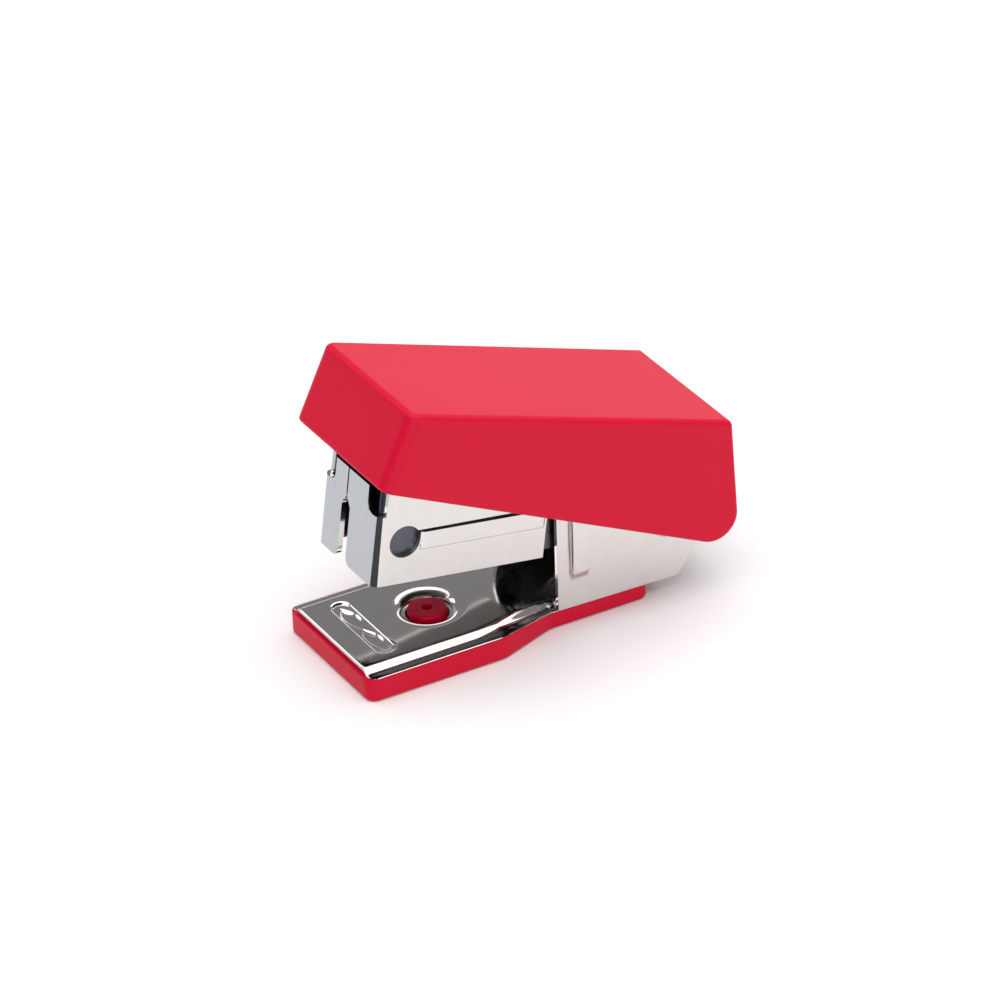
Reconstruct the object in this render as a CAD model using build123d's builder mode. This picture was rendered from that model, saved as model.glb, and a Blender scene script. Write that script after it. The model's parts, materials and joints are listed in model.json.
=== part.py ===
from build123d import *
import os
from math import atan, cos, radians, sin

os.makedirs("parts", exist_ok=True)

# Mini stapler for small staples. Millimetres, +Z up, nose towards -X, tail towards +X.
# The origin is the centre of the sole's underside, which rests on the table at z = 0.
# Every moving body turns about one pin at the tail. It is drawn in its own side plane,
# which starts at that pin: u runs towards the tail, v runs up, and the plane is tilted.

# the pin that everything turns about
pivot_x = 20.7
pivot_z = 10.5
pin_radius = 1.2
pin_bore = 1.25
pin_head_radius = 1.9
pin_head_inner = 7.42
pin_head_height = 0.43
washer_inner = 5.5
washer_height = 0.44
washer_radius = 2.7

# the resting tilt of the magazine and of the handle, nose up
magazine_tilt = 8.2
handle_tilt = 25.8

# the red sole
sole_front = -18.3
sole_rear = 18.15
sole_half_width = 9.15
sole_waist_half_width = 6.6
sole_waist_start = -1.4
sole_waist_end = 5.6
sole_height = 2.7
sole_corner = 1.3
sole_tail_corner = 1.0
sole_waist_corner = 4.0
sole_edge = 0.5
sole_tail_height = 1.8
sole_step_height = 2.1
stud_x = -6.0
stud_radius = 2.2
stud_top = 3.5
stud_dimple_radius = 0.6
stud_dimple_depth = 0.9
stud_edge = 0.25
well_depth = 0.75

# the steel base plate
plate_top = 3.6
plate_sheet = 0.6
plate_front = -17.95
plate_half_width = 6.8
plate_waist_half_width = 5.2
plate_waist_lead = 2.5
plate_tail_top = 2.45
plate_tail_start_top = 2.75
skirt_half_width = 8.98
skirt_lip_width = 0.9
skirt_lip_height = 0.3
plate_rear = 22.0
crater_radius = 4.3
crater_floor_radius = 3.1
crater_floor_top = 2.7
crater_hole_radius = 2.45
crater_sheet = 0.5
pocket_x = -14.0
pocket_length = 12.4
pocket_width = 2.7
pocket_depth = 0.3
clinch_depth = 0.15
clinch_width = 1.5
clinch_length = 4.6
clinch_spacing = 5.2

# the base plate's uprights
upright_inner = 6.0
upright_outer = 6.6
upright_front = 6.7
upright_bottom = 1.95
upright_top = 15.6
upright_top_corner = 1.2
upright_tail_reach = 3.65
ear_radius = 4.4
rib_x = 9.55
rib_width = 1.8
rib_outer = 7.1
rib_bottom = 6.2
rib_top = 14.6
rib_taper = 14
groove_width = 1.2
groove_outer = 6.5

# the leaf spring that lifts the magazine
lift_spring_rear = 20.0
lift_spring_bend = 16.8
lift_spring_floor = 2.9
lift_spring_arm = 9.0

# the magazine
casing_front = -36.4
casing_rear = -15.2
casing_bottom = -3.54
casing_top = 7.6
casing_half_width = 6.1
casing_sheet = 0.6
casing_corner = 1.0
floor_front = -31.5
seam_y = 0.85
seam_width = 0.3
slot_width = 1.75
slot_top = 3.9
notch_half_width = 3.5
notch_bottom = 4.7
notch_side_depth = 1.0
side_hole_u = -32.87
side_hole_v = 1.48
side_hole_radius = 1.88
slit_bottom = 2.35
slit_top = 2.65
strip_bottom = 0.27
strip_proud = 0.22

channel_front = -35.75
channel_bottom = -2.9
channel_half_width = 5.45
channel_sheet = 0.55
channel_top = 5.0
channel_corner = 0.8
channel_post_length = 1.4
channel_ear_radius = 3.6

rail_front = -34.2
rail_rear = -13.4
rail_half_width = 4.15
rail_top = 1.8
rail_sheet = 0.6

rod_v = 3.5
rod_radius = 0.6
rod_front = -33.6
anchor_front = -13.2
anchor_rear = -10.2
stop_pin_u = -11.2
stop_pin_v = -1.0
stop_pin_radius = 0.45

pusher_front = -34.0
pusher_rear = -28.2
pusher_half_width = 4.7
pusher_gap = 0.1
spring_radius = 1.2
spring_wire = 0.2
spring_turns = 11

# the handle: the four corners of the cap's side profile
cap_front = -39.7
cap_bottom = -2.3
cap_front_height = 6.85
cap_rear_bottom = 9.2
cap_rear_bottom_height = -2.0
cap_rear_top = 1.4
cap_rear_height = 12.28
cap_half_width = 9.82
cap_draft = 0.005
cap_front_corner = 1.4
cap_rear_corner = 3.0
cap_roof_corner = 0.7
cap_rim_corner = 0.45
cap_wall = 1.2
cap_roof = 1.3
cavity_half_width = 8.55
rear_opening_height = 1.4
rear_opening_reach = 4.0
cap_rib_width = 1.0
cap_rib_depth = 2.6

frame_inner = 6.75
frame_outer = 7.35
frame_sheet = 0.8
frame_flange = 2.4
frame_front = -37.2
frame_ear_radius = 3.0

blade_sheet = 0.6
blade_half_width = 4.6
blade_top_u = -35.9
blade_foot_u = -34.85
blade_foot_v = -6.58
blade_flange = 5.0
leaf_sheet = 0.4
leaf_half_width = 3.4
return_spring_rear = -1.0
return_spring_bend = -6.0
return_spring_arm = 6.6
rivet_offset = 2.0
rivet_radius = 0.9
rivet_height = 0.4
bush_wall = 0.9


def side_plane(tilt):
    """The XZ side plane through the pivot, turned nose up by tilt degrees."""
    angle = radians(tilt)
    return Plane(
        origin=(pivot_x, 0, pivot_z),
        x_dir=(cos(angle), 0, -sin(angle)),
        z_dir=(0, -1, 0),
    )


def plan_plane(tilt, height):
    """The plane seen from above, at height v over the pivot of a tilted body."""
    angle = radians(tilt)
    return Plane(
        origin=(pivot_x + height * sin(angle), 0, pivot_z + height * cos(angle)),
        x_dir=(cos(angle), 0, -sin(angle)),
        z_dir=(sin(angle), 0, cos(angle)),
    )


def cross_plane(tilt, distance):
    """The plane across a tilted body at distance u from the pivot: y, then v."""
    angle = radians(tilt)
    return Plane(
        origin=(pivot_x + distance * cos(angle), 0, pivot_z - distance * sin(angle)),
        x_dir=(0, 1, 0),
        z_dir=(cos(angle), 0, -sin(angle)),
    )


def roof_height(u):
    """Height of the cap's inner roof over the pivot, in the handle's side plane."""
    slope = (cap_rear_height - cap_front_height) / (cap_rear_top - cap_front)
    return cap_rear_height - cap_roof + (u - cap_rear_top) * slope


base_side = Plane(origin=(0, 0, 0), x_dir=(1, 0, 0), z_dir=(0, -1, 0))
magazine_side = side_plane(magazine_tilt)
handle_side = side_plane(handle_tilt)


# ---- base ----

def half_outline(front, half_width, waist_start, waist_end, waist_half_width, rear):
    """The points of an outline that narrows to a waist, both sides, front to rear."""
    near_side = [
        (front, -half_width),
        (waist_start, -half_width),
        (waist_end, -waist_half_width),
        (rear, -waist_half_width),
    ]
    far_side = [(x, -y) for x, y in reversed(near_side)]
    return near_side + far_side


with BuildPart() as base_sole:
    with BuildSketch(Plane.XY):
        with BuildLine():
            Polyline(
                half_outline(
                    sole_front, sole_half_width, sole_waist_start, sole_waist_end,
                    sole_waist_half_width, sole_rear,
                ),
                close=True,
            )
        make_face()
        fillet(vertices().group_by(Axis.X)[0], radius=sole_corner)
        fillet(vertices().group_by(Axis.X)[-1], radius=sole_tail_corner)
        waist_corners = vertices().filter_by_position(Axis.X, sole_waist_start - 0.5, sole_waist_end + 0.5)
        fillet(waist_corners, radius=sole_waist_corner)
    extrude(amount=sole_height)
    # the top falls away towards the tail
    with BuildSketch(base_side):
        Polygon(
            (sole_waist_start, sole_height),
            (upright_front, sole_step_height),
            (sole_rear + 1, sole_tail_height),
            (sole_rear + 1, sole_height + 1),
            (sole_waist_start, sole_height + 1),
            align=None,
        )
    extrude(amount=sole_half_width + 1, both=True, mode=Mode.SUBTRACT)
    fillet(faces().sort_by(Axis.Z)[0].edges(), radius=sole_edge)
    # a round well under the plate's crater, and the stud that snaps into its hole
    with Locations((stud_x, 0, sole_height)):
        Hole(radius=crater_radius + 0.1, depth=well_depth)
    with BuildSketch(Plane.XY.offset(sole_height - well_depth - 0.01)):
        with Locations((stud_x, 0)):
            Circle(stud_radius)
    extrude(amount=stud_top - sole_height + well_depth + 0.01)
    fillet(faces().sort_by(Axis.Z)[-1].edges(), radius=stud_edge)
    with BuildSketch(Plane.XY.offset(stud_top)):
        with Locations((stud_x, 0)):
            Circle(stud_dimple_radius)
    extrude(amount=-stud_dimple_depth, mode=Mode.SUBTRACT)
base_sole.part.label = "base_sole"
export_step(base_sole.part, "parts/base_sole.step")

with BuildPart() as base_plate:
    # a shallow tray turned upside down: flat on top, flanks that slope to the sole's edge
    for drop, operation in ((0.0, Mode.ADD), (plate_sheet, Mode.SUBTRACT)):
        with BuildSketch(Plane.XY.offset(sole_height - drop)):
            with BuildLine():
                Polyline(
                    half_outline(
                        plate_front - drop, skirt_half_width - 0.4 * drop, sole_waist_start,
                        sole_waist_end, sole_waist_half_width - drop, upright_front,
                    ),
                    close=True,
                )
            make_face()
        with BuildSketch(Plane.XY.offset(plate_top - drop)):
            with BuildLine():
                Polyline(
                    half_outline(
                        plate_front - drop, plate_half_width, sole_waist_start - plate_waist_lead,
                        sole_waist_end, plate_waist_half_width, upright_front,
                    ),
                    close=True,
                )
            make_face()
        loft(ruled=True, mode=operation)
    # the skirt's lip along the sole's edge
    for side in (-1, 1):
        with BuildSketch(Plane.XY.offset(sole_height)):
            with BuildLine():
                Polyline(
                    (plate_front, side * (skirt_half_width - skirt_lip_width)),
                    (sole_waist_start, side * (skirt_half_width - skirt_lip_width)),
                    (sole_waist_end, side * (sole_waist_half_width - skirt_lip_width)),
                    (upright_front, side * (sole_waist_half_width - skirt_lip_width)),
                    (upright_front, side * sole_waist_half_width),
                    (sole_waist_end, side * sole_waist_half_width),
                    (sole_waist_start, side * skirt_half_width),
                    (plate_front, side * skirt_half_width),
                    close=True,
                )
            make_face()
        extrude(amount=skirt_lip_height)
    # the floor between the uprights
    with BuildSketch(base_side):
        Polygon(
            (upright_front - 3, plate_top),
            (upright_front + 2, plate_tail_start_top),
            (plate_rear, plate_tail_top),
            (plate_rear, plate_tail_top - plate_sheet),
            (upright_front + 2, plate_tail_start_top - plate_sheet),
            (upright_front, plate_tail_start_top - plate_sheet),
            (upright_front - 3, plate_top - plate_sheet),
            align=None,
        )
    extrude(amount=upright_inner, both=True)
    # the two uprights, with a rounded ear round the pivot
    for side in (-1, 1):
        wall_plane = base_side.offset(side * upright_inner)
        with BuildSketch(wall_plane):
            Polygon(
                (upright_front, upright_bottom + 0.15),
                (sole_rear + upright_tail_reach, upright_bottom - 0.2),
                (sole_rear + upright_tail_reach + 2.5, pivot_z - 5.6),
                (sole_rear + upright_tail_reach + 3.4, pivot_z - 3.5),
                (pivot_x + ear_radius - 0.5, pivot_z),
                (pivot_x, pivot_z + ear_radius - 0.2),
                (upright_front + 4, upright_top),
                (upright_front, upright_top),
                align=None,
            )
            with Locations((pivot_x, pivot_z)):
                Circle(ear_radius)
            fillet(vertices().group_by(Axis.X)[0].sort_by(Axis.Y)[-1], radius=upright_top_corner)
        extrude(amount=side * (upright_outer - upright_inner))
        # a hollow rib pressed outwards: its inside is the groove that the stop pin runs in
        with BuildSketch(base_side.offset(side * (upright_outer - 0.1))):
            with Locations((rib_x, (rib_bottom + rib_top) / 2)):
                RectangleRounded(rib_width, rib_top - rib_bottom, 0.5)
        extrude(amount=side * (rib_outer - upright_outer + 0.1), taper=rib_taper)
        with BuildSketch(base_side.offset(side * (upright_inner - 0.1))):
            with Locations((rib_x, (rib_bottom + rib_top) / 2)):
                RectangleRounded(groove_width, rib_top - rib_bottom - 0.8, 0.55)
        extrude(amount=side * (groove_outer - upright_inner + 0.1), mode=Mode.SUBTRACT)
    with BuildSketch(base_side):
        with Locations((pivot_x, pivot_z)):
            Circle(pin_radius)
    extrude(amount=upright_outer + 1, both=True, mode=Mode.SUBTRACT)
    # the crater round the stud: a cone down to a flat ring with a hole
    with BuildSketch(Plane.XY.offset(plate_top + 1)):
        with Locations((stud_x, 0)):
            Circle(crater_radius)
    extrude(amount=-2.5, mode=Mode.SUBTRACT)
    crater_floor_bottom = crater_floor_top - crater_sheet
    with BuildSketch(base_side):
        Polygon(
            (stud_x + crater_hole_radius, crater_floor_bottom),
            (stud_x + crater_floor_radius, crater_floor_bottom),
            (stud_x + crater_radius, plate_top - plate_sheet),
            (stud_x + crater_radius, plate_top),
            (stud_x + crater_floor_radius, crater_floor_top),
            (stud_x + crater_hole_radius, crater_floor_top),
            align=None,
        )
    revolve(axis=Axis((stud_x, 0, 0), (0, 0, 1)))
    # the anvil: a pressed pocket with a clinching groove for each staple leg
    with BuildSketch(Plane.XY.offset(plate_top - plate_sheet - pocket_depth)):
        with Locations((pocket_x, 0)):
            SlotOverall(pocket_length + 1, pocket_width + 1, rotation=90)
    extrude(amount=pocket_depth + 0.1)
    with BuildSketch(Plane.XY.offset(plate_top)):
        with Locations((pocket_x, 0)):
            SlotOverall(pocket_length, pocket_width, rotation=90)
    extrude(amount=-pocket_depth, mode=Mode.SUBTRACT)
    with BuildSketch(Plane.XY.offset(plate_top - pocket_depth)):
        with Locations((pocket_x, clinch_spacing / 2), (pocket_x, -clinch_spacing / 2)):
            SlotOverall(clinch_length, clinch_width, rotation=90)
    extrude(amount=-clinch_depth, mode=Mode.SUBTRACT)
base_plate.part.label = "base_plate"
export_step(base_plate.part, "parts/base_plate.step")

with BuildPart() as pivot_pin:
    with BuildSketch(base_side):
        with Locations((pivot_x, pivot_z)):
            Circle(pin_radius)
    extrude(amount=pin_head_inner + 0.2, both=True)
    for side in (-1, 1):
        with BuildSketch(base_side.offset(side * pin_head_inner)):
            with Locations((pivot_x, pivot_z)):
                Circle(pin_head_radius)
        extrude(amount=side * pin_head_height)
    fillet(edges().filter_by(GeomType.CIRCLE).group_by(Axis.Y)[0], radius=0.15)
    fillet(edges().filter_by(GeomType.CIRCLE).group_by(Axis.Y)[-1], radius=0.15)
pivot_pin.part.label = "pivot_pin"
export_step(pivot_pin.part, "parts/pivot_pin.step")

with BuildPart() as pivot_washers:
    for side in (-1, 1):
        with BuildSketch(base_side.offset(side * washer_inner)):
            with Locations((pivot_x, pivot_z)):
                Circle(washer_radius)
                Circle(pin_radius, mode=Mode.SUBTRACT)
        extrude(amount=side * washer_height)
pivot_washers.part.label = "pivot_washers"
export_step(pivot_washers.part, "parts/pivot_washers.step")

with BuildPart() as lift_spring:
    with BuildSketch(base_side):
        with BuildLine():
            flat_run = Line((lift_spring_rear, lift_spring_floor), (lift_spring_bend, lift_spring_floor))
            bend = JernArc(start=flat_run @ 1, tangent=(-1, 0), radius=3.0, arc_size=-36)
            arm = PolarLine(start=bend @ 1, length=lift_spring_arm, direction=bend % 1)
            JernArc(start=arm @ 1, tangent=arm % 1, radius=1.5, arc_size=55)
        trace(line_width=leaf_sheet)
    extrude(amount=leaf_half_width, both=True)
lift_spring.part.label = "lift_spring"
export_step(lift_spring.part, "parts/lift_spring.step")

with BuildPart() as lift_spring_rivet:
    with BuildSketch(Plane.XY.offset(lift_spring_floor + leaf_sheet / 2)):
        with Locations((lift_spring_rear - 2.0, 0)):
            Circle(1.3)
    extrude(amount=0.5)
    fillet(edges().group_by(Axis.Z)[-1], radius=0.3)
lift_spring_rivet.part.label = "lift_spring_rivet"
export_step(lift_spring_rivet.part, "parts/lift_spring_rivet.step")


# ---- magazine ----

casing_plan = plan_plane(magazine_tilt, casing_bottom)
casing_height = casing_top - casing_bottom
tail_overrun = 12.0

with BuildPart() as magazine_casing:
    # side walls and the two front tabs, bent from one sheet round the front corners
    with BuildSketch(casing_plan):
        with Locations(((casing_front + casing_rear) / 2, 0)):
            Rectangle(casing_rear - casing_front, 2 * casing_half_width)
        fillet(vertices().group_by(Axis.X)[0], radius=casing_corner)
    extrude(amount=casing_height)
    with BuildSketch(casing_plan):
        inner_front = casing_front + casing_sheet
        with Locations(((inner_front + casing_rear + tail_overrun) / 2, 0)):
            Rectangle(casing_rear + tail_overrun - inner_front, 2 * (casing_half_width - casing_sheet))
        fillet(vertices().group_by(Axis.X)[0], radius=casing_corner - casing_sheet)
    extrude(amount=casing_height, mode=Mode.SUBTRACT)
    # the floor stops short of the front, where the staples leave
    with BuildSketch(casing_plan):
        with Locations(((floor_front + casing_rear) / 2, 0)):
            Rectangle(casing_rear - floor_front, 2 * casing_half_width - casing_sheet)
    extrude(amount=casing_sheet)
    # between the tabs: a thin seam above, a wider slot below
    with BuildSketch(cross_plane(magazine_tilt, casing_front - 1)):
        with Locations((seam_y, (slot_top + casing_top + 1) / 2)):
            Rectangle(seam_width, casing_top + 1 - slot_top)
        with BuildLine():
            Polyline(
                (seam_y - slot_width / 2, casing_bottom - 1),
                (seam_y - slot_width / 2, slot_top - 0.7),
                (seam_y - seam_width / 2, slot_top + 0.3),
                (seam_y + seam_width / 2, slot_top + 0.3),
                (seam_y + slot_width / 2, slot_top - 0.7),
                (seam_y + slot_width / 2, casing_bottom - 1),
                close=True,
            )
        make_face()
        # a notch at each upper corner
        for side in (-1, 1):
            with BuildLine():
                Polyline(
                    (side * notch_half_width, casing_top + 1),
                    (side * notch_half_width, notch_bottom + 0.25),
                    (side * (notch_half_width + 1.1), notch_bottom),
                    (side * (casing_half_width + 1), notch_bottom),
                    (side * (casing_half_width + 1), casing_top + 1),
                    close=True,
                )
            make_face()
    extrude(amount=1 + notch_side_depth, mode=Mode.SUBTRACT)
    # the side openings and the strip pressed outwards below the slit
    with BuildSketch(magazine_side):
        with Locations((side_hole_u, side_hole_v)):
            Circle(side_hole_radius)
        with BuildLine():
            Polyline(
                (side_hole_u, slit_bottom + 0.05),
                (side_hole_u, slit_top - 0.05),
                (casing_rear + 1, slit_top + 0.2),
                (casing_rear + 1, slit_bottom - 0.05),
                close=True,
            )
        make_face()
    extrude(amount=casing_half_width + 1, both=True, mode=Mode.SUBTRACT)
    strip_start = side_hole_u + side_hole_radius + 0.15
    for side in (-1, 1):
        with BuildSketch(magazine_side.offset(side * (casing_half_width - 0.1))):
            Polygon(
                (strip_start, strip_bottom),
                (strip_start, slit_bottom),
                (casing_rear + 0.1, slit_bottom - 0.1),
                (casing_rear - 0.3, strip_bottom),
                align=None,
            )
        extrude(amount=side * (strip_proud + 0.1))
magazine_casing.part.label = "magazine_casing"
export_step(magazine_casing.part, "parts/magazine_casing.step")

channel_plan = plan_plane(magazine_tilt, channel_bottom)
channel_inner = channel_half_width - channel_sheet
channel_floor = channel_bottom + channel_sheet

with BuildPart() as staple_channel:
    with BuildSketch(channel_plan):
        with Locations(((channel_front + channel_ear_radius) / 2, 0)):
            Rectangle(channel_ear_radius - channel_front, 2 * channel_half_width)
        fillet(vertices().group_by(Axis.X)[0], radius=channel_corner)
    extrude(amount=casing_top - channel_bottom, both=True)
    with BuildSketch(plan_plane(magazine_tilt, channel_floor)):
        channel_start = channel_front + channel_sheet
        with Locations(((channel_start + tail_overrun) / 2, 0)):
            Rectangle(tail_overrun - channel_start, 2 * channel_inner)
        fillet(vertices().group_by(Axis.X)[0], radius=0.3)
    extrude(amount=casing_height, mode=Mode.SUBTRACT)
    # the front is open for the blade and the staples
    with BuildSketch(plan_plane(magazine_tilt, channel_bottom - 2)):
        with Locations((channel_front, 0)):
            Rectangle(2 * (floor_front - channel_front), 2 * channel_inner - 0.1)
    extrude(amount=casing_height + 4, mode=Mode.SUBTRACT)
    # side profile: tall posts at the front corners, a round ear at the pivot
    with BuildSketch(magazine_side):
        Polygon(
            (channel_front - 1, channel_bottom),
            (channel_front - 1, casing_top - 0.1),
            (channel_front + channel_post_length, casing_top - 0.1),
            (channel_front + 2 * channel_post_length, channel_top),
            (-5.0, channel_top),
            (0, channel_ear_radius),
            (0, channel_bottom),
            align=None,
        )
        Circle(channel_ear_radius)
    extrude(amount=channel_half_width + 1, both=True, mode=Mode.INTERSECT)
    with BuildSketch(magazine_side):
        Circle(pin_bore)
        with Locations((stop_pin_u, stop_pin_v)):
            Circle(stop_pin_radius)
    extrude(amount=channel_half_width + 1, both=True, mode=Mode.SUBTRACT)
staple_channel.part.label = "staple_channel"
export_step(staple_channel.part, "parts/staple_channel.step")

with BuildPart() as staple_rail:
    with BuildSketch(cross_plane(magazine_tilt, rail_front)):
        with Locations((0, (channel_floor + rail_top) / 2)):
            Rectangle(2 * rail_half_width, rail_top - channel_floor)
        fillet(vertices().group_by(Axis.Y)[-1], radius=0.35)
        with Locations((0, (channel_floor + rail_top) / 2 - rail_sheet)):
            Rectangle(2 * (rail_half_width - rail_sheet), rail_top - channel_floor, mode=Mode.SUBTRACT)
    extrude(amount=rail_rear - rail_front)
staple_rail.part.label = "staple_rail"
export_step(staple_rail.part, "parts/staple_rail.step")

with BuildPart() as guide_rod:
    with BuildSketch(cross_plane(magazine_tilt, rod_front)):
        with Locations((0, rod_v)):
            Circle(rod_radius)
    extrude(amount=anchor_rear - rod_front + 0.1)
    with BuildSketch(cross_plane(magazine_tilt, anchor_rear)):
        with Locations((0, rod_v)):
            Circle(rod_radius + 0.4)
    extrude(amount=0.5)
guide_rod.part.label = "guide_rod"
export_step(guide_rod.part, "parts/guide_rod.step")

with BuildPart() as rod_anchor:
    with BuildSketch(cross_plane(magazine_tilt, anchor_front)):
        with Locations((0, (channel_floor + channel_top) / 2)):
            RectangleRounded(2 * channel_inner, channel_top - channel_floor, 0.4)
        with Locations((0, rod_v)):
            Circle(rod_radius, mode=Mode.SUBTRACT)
    extrude(amount=anchor_rear - anchor_front)
    with BuildSketch(magazine_side):
        with Locations((stop_pin_u, stop_pin_v)):
            Circle(stop_pin_radius)
    extrude(amount=channel_half_width, both=True, mode=Mode.SUBTRACT)
rod_anchor.part.label = "rod_anchor"
export_step(rod_anchor.part, "parts/rod_anchor.step")

with BuildPart() as stop_pin:
    with BuildSketch(magazine_side):
        with Locations((stop_pin_u, stop_pin_v)):
            Circle(stop_pin_radius)
    extrude(amount=groove_outer - 0.15, both=True)
stop_pin.part.label = "stop_pin"
export_step(stop_pin.part, "parts/stop_pin.step")

with BuildPart() as pivot_bush:
    with BuildSketch(magazine_side):
        Circle(pin_bore + bush_wall)
        Circle(pin_bore, mode=Mode.SUBTRACT)
    extrude(amount=channel_inner, both=True)
pivot_bush.part.label = "pivot_bush"
export_step(pivot_bush.part, "parts/pivot_bush.step")


# ---- pusher ----

saddle_bottom = channel_floor + 0.15
saddle_top = rod_v + 1.4

with BuildPart() as pusher_block:
    with BuildSketch(cross_plane(magazine_tilt, pusher_front)):
        with Locations((0, (saddle_bottom + saddle_top) / 2)):
            RectangleRounded(2 * pusher_half_width, saddle_top - saddle_bottom, 0.4)
        with Locations((0, rail_top + pusher_gap - 4)):
            Rectangle(2 * (rail_half_width + pusher_gap), 8, mode=Mode.SUBTRACT)
        with Locations((0, rod_v)):
            Circle(rod_radius + 0.1, mode=Mode.SUBTRACT)
    extrude(amount=pusher_rear - pusher_front)
pusher_block.part.label = "pusher_block"
export_step(pusher_block.part, "parts/pusher_block.step")

spring_front = pusher_rear + 0.3
spring_length = anchor_front - 0.3 - spring_front
spring_axis = cross_plane(magazine_tilt, spring_front)

with BuildPart() as pusher_spring:
    with BuildLine():
        coil = Helix(
            pitch=spring_length / spring_turns,
            height=spring_length,
            radius=spring_radius,
            center=spring_axis.from_local_coords((0, rod_v, 0)),
            direction=spring_axis.z_dir,
        )
    with BuildSketch(Plane(origin=coil @ 0, z_dir=coil % 0)):
        Circle(spring_wire)
    sweep(is_frenet=True)
pusher_spring.part.label = "pusher_spring"
export_step(pusher_spring.part, "parts/pusher_spring.step")


# ---- handle ----

def cap_half_width_at(v):
    """Half the cap's outer width at height v: the sides lean in a little."""
    return cap_half_width - cap_draft * (v - cap_bottom)


with BuildPart() as handle_cap:
    with BuildSketch(handle_side):
        Polygon(
            (cap_front, cap_bottom),
            (cap_front, cap_front_height),
            (cap_rear_top, cap_rear_height),
            (cap_rear_bottom, cap_rear_bottom_height),
            align=None,
        )
        fillet(vertices().sort_by(Axis.X)[-1], radius=cap_rear_corner)
    extrude(amount=cap_half_width, both=True)
    with BuildSketch(cross_plane(handle_tilt, cap_front - 1)):
        Polygon(
            (-cap_half_width_at(cap_bottom - 1), cap_bottom - 1),
            (-cap_half_width_at(14), 14),
            (cap_half_width_at(14), 14),
            (cap_half_width_at(cap_bottom - 1), cap_bottom - 1),
            align=None,
        )
    extrude(amount=60, mode=Mode.INTERSECT)
    front_face = faces().sort_by(Axis(cross_plane(handle_tilt, 0).origin, handle_side.x_dir))[0]
    across = Axis((0, 0, 0), (0, 1, 0))
    front_corners = front_face.edges().group_by(across)
    fillet([front_corners[0][0], front_corners[-1][0]], radius=cap_front_corner)
    roof_face = faces().sort_by(Axis(cross_plane(handle_tilt, 0).origin, handle_side.y_dir))[-1]
    fillet(roof_face.edges(), radius=cap_roof_corner)
    rim_face = faces().sort_by(Axis(cross_plane(handle_tilt, 0).origin, handle_side.y_dir))[0]
    fillet(rim_face.edges(), radius=cap_rim_corner)
    with BuildSketch(handle_side):
        Polygon(
            (cap_front + cap_wall, cap_bottom - 2),
            (cap_front + cap_wall, roof_height(cap_front + cap_wall)),
            (cap_rear_top - cap_wall, roof_height(cap_rear_top - cap_wall)),
            (cap_rear_bottom - rear_opening_reach, rear_opening_height),
            (cap_rear_bottom + rear_opening_reach, rear_opening_height),
            (cap_rear_bottom + rear_opening_reach, cap_bottom - 2),
            align=None,
        )
    extrude(amount=cavity_half_width, both=True, mode=Mode.SUBTRACT)
    # moulded ribs that grip the steel frame
    for rib_start in (-31.5, -19.5, -7.5):
        for side in (-1, 1):
            with BuildSketch(handle_side.offset(side * frame_outer)):
                Polygon(
                    (rib_start, roof_height(rib_start) + 0.2),
                    (rib_start + cap_rib_width, roof_height(rib_start + cap_rib_width) + 0.2),
                    (rib_start + cap_rib_width, roof_height(rib_start) - cap_rib_depth),
                    (rib_start, roof_height(rib_start) - cap_rib_depth),
                    align=None,
                )
            extrude(amount=side * (cavity_half_width - frame_outer + 0.2))
handle_cap.part.label = "handle_cap"
export_step(handle_cap.part, "parts/handle_cap.step")

with BuildPart() as handle_frame:
    with BuildSketch(handle_side):
        Polygon(
            (frame_front, roof_height(frame_front)),
            (-0.5, roof_height(-0.5)),
            (frame_ear_radius, pin_bore),
            (0, -frame_ear_radius),
            (-frame_ear_radius, pin_bore),
            (-8.0, roof_height(-8.0) - frame_sheet - frame_flange),
            (frame_front, roof_height(frame_front) - frame_sheet - 0.6),
            align=None,
        )
        Circle(frame_ear_radius)
        Circle(pin_bore, mode=Mode.SUBTRACT)
    extrude(amount=frame_outer, both=True)
    with BuildSketch(handle_side):
        Polygon(
            (frame_front - 1, roof_height(frame_front - 1) - frame_sheet),
            (12, roof_height(12) - frame_sheet),
            (12, -12),
            (frame_front - 1, -12),
            align=None,
        )
    extrude(amount=frame_inner, both=True, mode=Mode.SUBTRACT)
handle_frame.part.label = "handle_frame"
export_step(handle_frame.part, "parts/handle_frame.step")


def web_plane(u, depth):
    """The plane of the frame's sloping web at distance u, so far below the cap's roof."""
    slope = (cap_rear_height - cap_front_height) / (cap_rear_top - cap_front)
    angle = radians(handle_tilt) - atan(slope)
    return Plane(
        origin=handle_side.from_local_coords((u, roof_height(u) - depth, 0)),
        x_dir=(cos(angle), 0, -sin(angle)),
        z_dir=(sin(angle), 0, cos(angle)),
    )


flange_depth = frame_sheet + blade_sheet / 2 + 0.01

with BuildPart() as driver_blade:
    # the blade hangs square to the magazine when the handle is fully down
    with BuildSketch(handle_side):
        with BuildLine():
            Polyline(
                (blade_top_u + blade_flange, roof_height(blade_top_u + blade_flange) - flange_depth),
                (blade_top_u, roof_height(blade_top_u) - flange_depth),
                (blade_foot_u, blade_foot_v),
            )
        trace(line_width=blade_sheet)
    extrude(amount=blade_half_width, both=True)
driver_blade.part.label = "driver_blade"
export_step(driver_blade.part, "parts/driver_blade.step")

with BuildPart() as driver_rivets:
    with BuildSketch(web_plane(blade_top_u + blade_flange / 2 + 0.6, frame_sheet + blade_sheet + 0.02)):
        with GridLocations(1, 2 * rivet_offset, 1, 2):
            Circle(rivet_radius)
    extrude(amount=-rivet_height)
driver_rivets.part.label = "driver_rivets"
export_step(driver_rivets.part, "parts/driver_rivets.step")

leaf_depth = frame_sheet + leaf_sheet / 2 + 0.01

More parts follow.
